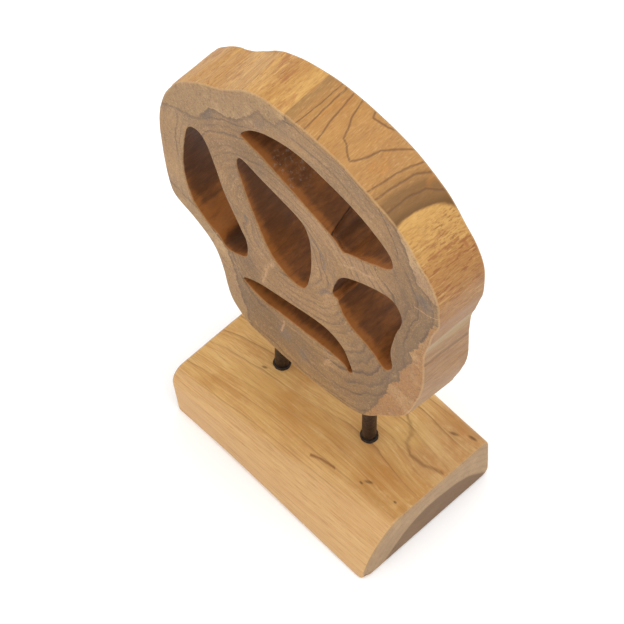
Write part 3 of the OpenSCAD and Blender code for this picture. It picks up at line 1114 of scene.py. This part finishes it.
def baseTree():
    t = Maker("loftedBlock", {"Left End": "Object", "Right End": "Object", "Rows": "Int", "Around": "Int",
                              "Left Lean": "Float", "Right Lean": "Float", "Rounding": "Float",
                              "Sanding": "Float", "Material": "Material"})
    i = t.inputs
    grid = t.make("GeometryNodeMeshGrid", {}, {"Size X": 1.0, "Size Y": 1.0, "Vertices X": i["Rows"],
                                               "Vertices Y": i["Around"]})
    u, w, _ = t.split(t.make("GeometryNodeInputPosition"))
    u, w = u + 0.5, w + 0.5
    cap, bend = 0.10, 0.05       # shares of the rows that close an end and that round its edge
    near = u.atMost(1 - u)       # 0 at both ends
    closing = (near / cap).atMost(1.0)
    rounding = ((near - cap) / bend).atLeast(0.0).atMost(1.0)
    straight = ((u - cap - bend) / (1 - 2 * cap - 2 * bend)).atLeast(0.0).atMost(1.0)
    places, runs = [], []
    for end in ("Left End", "Right End"):
        held = t.make("GeometryNodeObjectInfo", {"transform_space": "ORIGINAL"}, {"Object": i[end]})
        sampled = {"Curves": t.outputs(held)["Geometry"], "Factor": w}
        found = t.outputs(t.make("GeometryNodeSampleCurve", {"mode": "FACTOR"}, sampled))
        places.append(found["Position"])
        runs.append(found["Tangent"])
    mixed = {"data_type": "VECTOR"}
    place = t.make("ShaderNodeMix", mixed, {0: straight, 4: places[0], 5: places[1]}, out=1)
    run = t.make("ShaderNodeMix", mixed, {0: straight, 4: runs[0], 5: runs[1]}, out=1)
    px, py, pz = t.split(place)
    _, ry, rz = t.split(run)
    length = (ry * ry + rz * rz).root()
    turn = rounding * (math.pi / 2)
    inset = i["Rounding"] * (1 - turn.sine())
    rise = i["Rounding"] * (1 - turn.cosine())
    inY, inZ = rz / length * -1.0, ry / length
    ringY, ringZ = py + inY * inset * -1.0, pz + inZ * inset * -1.0
    middleY, middleZ = 0.008, 0.018     # where the rows that close an end meet, in metres
    y = middleY + (ringY - middleY) * closing
    z = middleZ + (ringZ - middleZ) * closing
    lean = i["Left Lean"] * (1 - straight) + i["Right Lean"] * straight
    x = px + (z - pz) * lean + rise * (1 - 2 * straight)
    moved = t.make("GeometryNodeSetPosition", {}, {"Geometry": grid, "Position": t.join(x, y, z)})
    closed = t.make("GeometryNodeMergeByDistance", {}, {"Geometry": moved, "Distance": 0.00002})
    at = t.make("GeometryNodeInputPosition")
    grainy = t.cloud(t.stretch(at, (0.2, 1, 1)), 120, 3)
    slow = t.cloud(at, 22)
    amount = ((grainy - 0.5) * 0.5 + (slow - 0.5) * 2.0) * i["Sanding"]
    along = t.make("GeometryNodeInputNormal")
    offset = t.make("ShaderNodeVectorMath", {"operation": "SCALE"}, {0: along, "Scale": amount})
    sanded = t.make("GeometryNodeSetPosition", {}, {"Geometry": closed, "Offset": offset})
    return t.close(sanded)


grainShape = {
    "frontSpacing": 12,          # mm between the lines in front of the first one
    "sheetHeight": 8.5,          # mm of height that count as one line
    "counted": 20,               # lines counted before the first one
}

# Lines of the grain on the flat top, as y in mm at a few x, from the front to the back
grainAt = [-110, -80, -52, -20, 20, 45, 75, 110]
grainLines = [
    [-64, -63, -62, -62, -60, -58, -57, -56],
    [-54, -52, -50, -48, -47, -46, -45, -44],
    [-47, -40.6, -36.7, -32.5, -30.5, -29.1, -28.4, -27],
    [-38, -33, -27, -21, -17, -17, -19, -18],
    [-28, -18, -12, -7.5, 1, 2, -4, -6],
    [-17, -4, 2, 7, 13, 14, 8, 6],
    [2, 9, 15, 20, 27, 30, 25, 20],
    [18, 24, 30, 36, 41, 43.5, 42.5, 44],
    [36, 40, 44, 48, 51, 53, 54, 56],
    [54, 57, 60, 62, 64, 65, 66, 67],
]


def grainValues(v, coords):
    # counts the grain lines from the front; the lines dip as nearly level sheets through the block
    x, y, z = coords.T
    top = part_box("base")[1].z / mm
    lines = np.array([np.interp(x, grainAt, line) for line in grainLines])
    value = sum(np.clip((y - line) / (beyond - line), 0, 1) for line, beyond in zip(lines, lines[1:]))
    value = value + np.where(y < lines[0], (y - lines[0]) / v["frontSpacing"], 0)
    return value + v["counted"] - (top - z) / v["sheetHeight"]


def buildBase(v):
    left = endProfile("leftEnd", v, v["underside"][0], v["leftWane"], -v["leftLean"])
    right = endProfile("rightEnd", v, v["underside"][1], v["rightWane"], -v["rightLean"])
    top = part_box("base")[1].z
    values = {"Left End": left, "Right End": right, "Rows": v["rows"], "Around": v["around"],
              "Left Lean": -v["leftLean"] * mm / top, "Right Lean": -v["rightLean"] * mm / top,
              "Rounding": v["endRounding"] * mm, "Sanding": v["sanding"] * mm, "Material": materials["base"]}
    block = nodeModifier(emptyPiece("baseBlock"), baseTree(), values)
    for helper in (left, right):
        bpy.data.objects.remove(helper)
    mesh = block.data
    coords = np.zeros(len(mesh.vertices) * 3)
    mesh.vertices.foreach_get("co", coords)
    coords = coords.reshape(-1, 3)
    coords[:, 2] = np.maximum(coords[:, 2], 0)
    fromNick = (coords - np.array(v["nickAt"]) * mm) * [1, 1, 0.7]
    pull = np.exp(-(np.linalg.norm(fromNick, axis=1) / (v["nickSize"] * mm)) ** 2)
    coords += pull[:, None] * np.array(v["nickPush"]) * mm
    mesh.vertices.foreach_set("co", coords.ravel())
    turnOutwards(mesh)
    normals = np.zeros(len(mesh.vertices) * 3)
    mesh.vertices.foreach_get("normal", normals)
    normals = normals.reshape(-1, 3)
    rise = coords[:, 2] / top
    past = np.maximum(coords[:, 0] - (v["underside"][1] - v["rightLean"] * rise) * mm,
                      (v["underside"][0] - v["leftLean"] * rise) * mm - coords[:, 0])
    saveValues(mesh, "end", np.clip((past / mm + v["endRounding"] * 0.6) / 0.8, 0, 1))
    tilted, forwards = np.clip((0.985 - normals[:, 2]) / 0.1, 0, 1), np.clip(-normals[:, 1] * 4, 0, 1)
    saveValues(mesh, "slope", tilted * forwards)
    saveValues(mesh, "grain", grainValues(grainShape, coords / mm))
    mesh.polygons.foreach_set("use_smooth", [True] * len(mesh.polygons))
    return block


baseBlock = buildBase(baseShape)
print("base made:", len(baseBlock.data.polygons), "faces")


rodShape = {"around": 56, "step": 0.9, "hammer": 0.16}    # step and hammer in mm
glueShape = {
    "thickness": 1.15,           # mm
    "lift": 0.2,                 # mm above the base
    "gap": 0.25,                 # mm outside the rod's surface
    "squash": 1.1,
    "lumps": 0.42,
    "around": 96,
    "section": 20,
}


def rodTree():
    t = Maker("roundBar", {"Bottom": "Vector", "Top": "Vector", "Radius": "Float", "Around": "Int",
                           "Step": "Float", "Hammer": "Float", "Seed": "Float", "Material": "Material"})
    i = t.inputs
    line = t.make("GeometryNodeCurvePrimitiveLine", {}, {"Start": i["Bottom"], "End": i["Top"]})
    path = t.make("GeometryNodeResampleCurve", {"mode": "LENGTH"}, {"Curve": line, "Length": i["Step"]})
    ring = t.make("GeometryNodeCurvePrimitiveCircle", {}, {"Resolution": i["Around"], "Radius": i["Radius"]})
    bar = t.make("GeometryNodeCurveToMesh", {}, {"Curve": path, "Profile Curve": ring, "Fill Caps": True})
    at = t.make("GeometryNodeInputPosition")
    shifted = t.make("ShaderNodeVectorMath", {"operation": "ADD"}, {0: at, 1: t.join(i["Seed"], 0.0, 0.0)})
    dents = t.cloud(t.stretch(shifted, (1, 1, 0.6)), 260)
    along = t.make("GeometryNodeInputNormal")
    offset = t.make("ShaderNodeVectorMath", {"operation": "SCALE"},
                    {0: along, "Scale": (dents - 0.5) * i["Hammer"] * 2})
    return t.close(t.make("GeometryNodeSetPosition", {}, {"Geometry": bar, "Offset": offset}))


def glueTree():
    t = Maker("glueBead", {"Place": "Vector", "Radius": "Float", "Thickness": "Float", "Squash": "Float",
                           "Lumps": "Float", "Around": "Int", "Section": "Int", "Seed": "Float",
                           "Material": "Material"})
    i = t.inputs
    path = t.make("GeometryNodeCurvePrimitiveCircle", {}, {"Resolution": i["Around"], "Radius": i["Radius"]})
    ring = t.make("GeometryNodeCurvePrimitiveCircle", {},
                  {"Resolution": i["Section"], "Radius": i["Thickness"]})
    bead = t.make("GeometryNodeCurveToMesh", {}, {"Curve": path, "Profile Curve": ring})
    x, y, z = t.split(t.make("GeometryNodeInputPosition"))
    lump = t.cloud(t.join(x + i["Seed"], y, z), 130, 3)
    grow = 1 + (lump - 0.5) * i["Lumps"]
    placed = t.make("ShaderNodeVectorMath", {"operation": "ADD"},
                    {0: t.join(x * grow, y * grow, z * i["Squash"] * grow), 1: i["Place"]})
    return t.close(t.make("GeometryNodeSetPosition", {}, {"Geometry": bead, "Position": placed}))


def buildRods(rod, glue):
    bar, bead = rodTree(), glueTree()
    made = {}
    for seed, side in enumerate(("left", "right")):
        low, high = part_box(side + "_rod")
        x, y, radius = (low.x + high.x) / 2, (low.y + high.y) / 2, (high.x - low.x) / 2
        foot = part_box(side + "_glue_bead")[0].z
        barValues = {"Bottom": (x, y, low.z), "Top": (x, y, high.z), "Radius": radius,
                     "Around": rod["around"], "Step": rod["step"] * mm, "Hammer": rod["hammer"] * mm,
                     "Seed": 0.37 * seed, "Material": materials["steel"]}
        beadValues = {"Place": (x, y, foot + glue["lift"] * mm), "Radius": radius + glue["gap"] * mm,
                      "Thickness": glue["thickness"] * mm, "Squash": glue["squash"], "Lumps": glue["lumps"],
                      "Around": glue["around"], "Section": glue["section"], "Seed": 0.53 * seed,
                      "Material": materials["glue"]}
        made[side] = (nodeModifier(emptyPiece(side + "Rod"), bar, barValues),
                      nodeModifier(emptyPiece(side + "Glue"), bead, beadValues))
        for piece in made[side]:
            turnOutwards(piece.data)
            piece.data.polygons.foreach_set("use_smooth", [True] * len(piece.data.polygons))
    return made


rods = buildRods(rodShape, glueShape)
print("rods and glue made")


def buildFloor(v):
    half = v["floorSize"] / 2
    mesh = bpy.data.meshes.new("paleFloor")
    corners = [(-half, -half, 0), (half, -half, 0), (half, half, 0), (-half, half, 0)]
    mesh.from_pydata(corners, [], [(0, 1, 2, 3)])
    return newPiece("paleFloor", mesh, materials["floor"])


buildFloor(lighting)
standsFor = [(carvedSlice, "trunk_slice", "slice_wood"), (baseBlock, "base", "base_wood")]
for side, (rod, glue) in rods.items():
    standsFor += [(rod, side + "_rod", "rod_steel"), (glue, side + "_glue_bead", "glue")]
for piece, node, slot in standsFor:
    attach(piece, "root")
    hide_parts(node)

print("pieces placed:", len(standsFor))
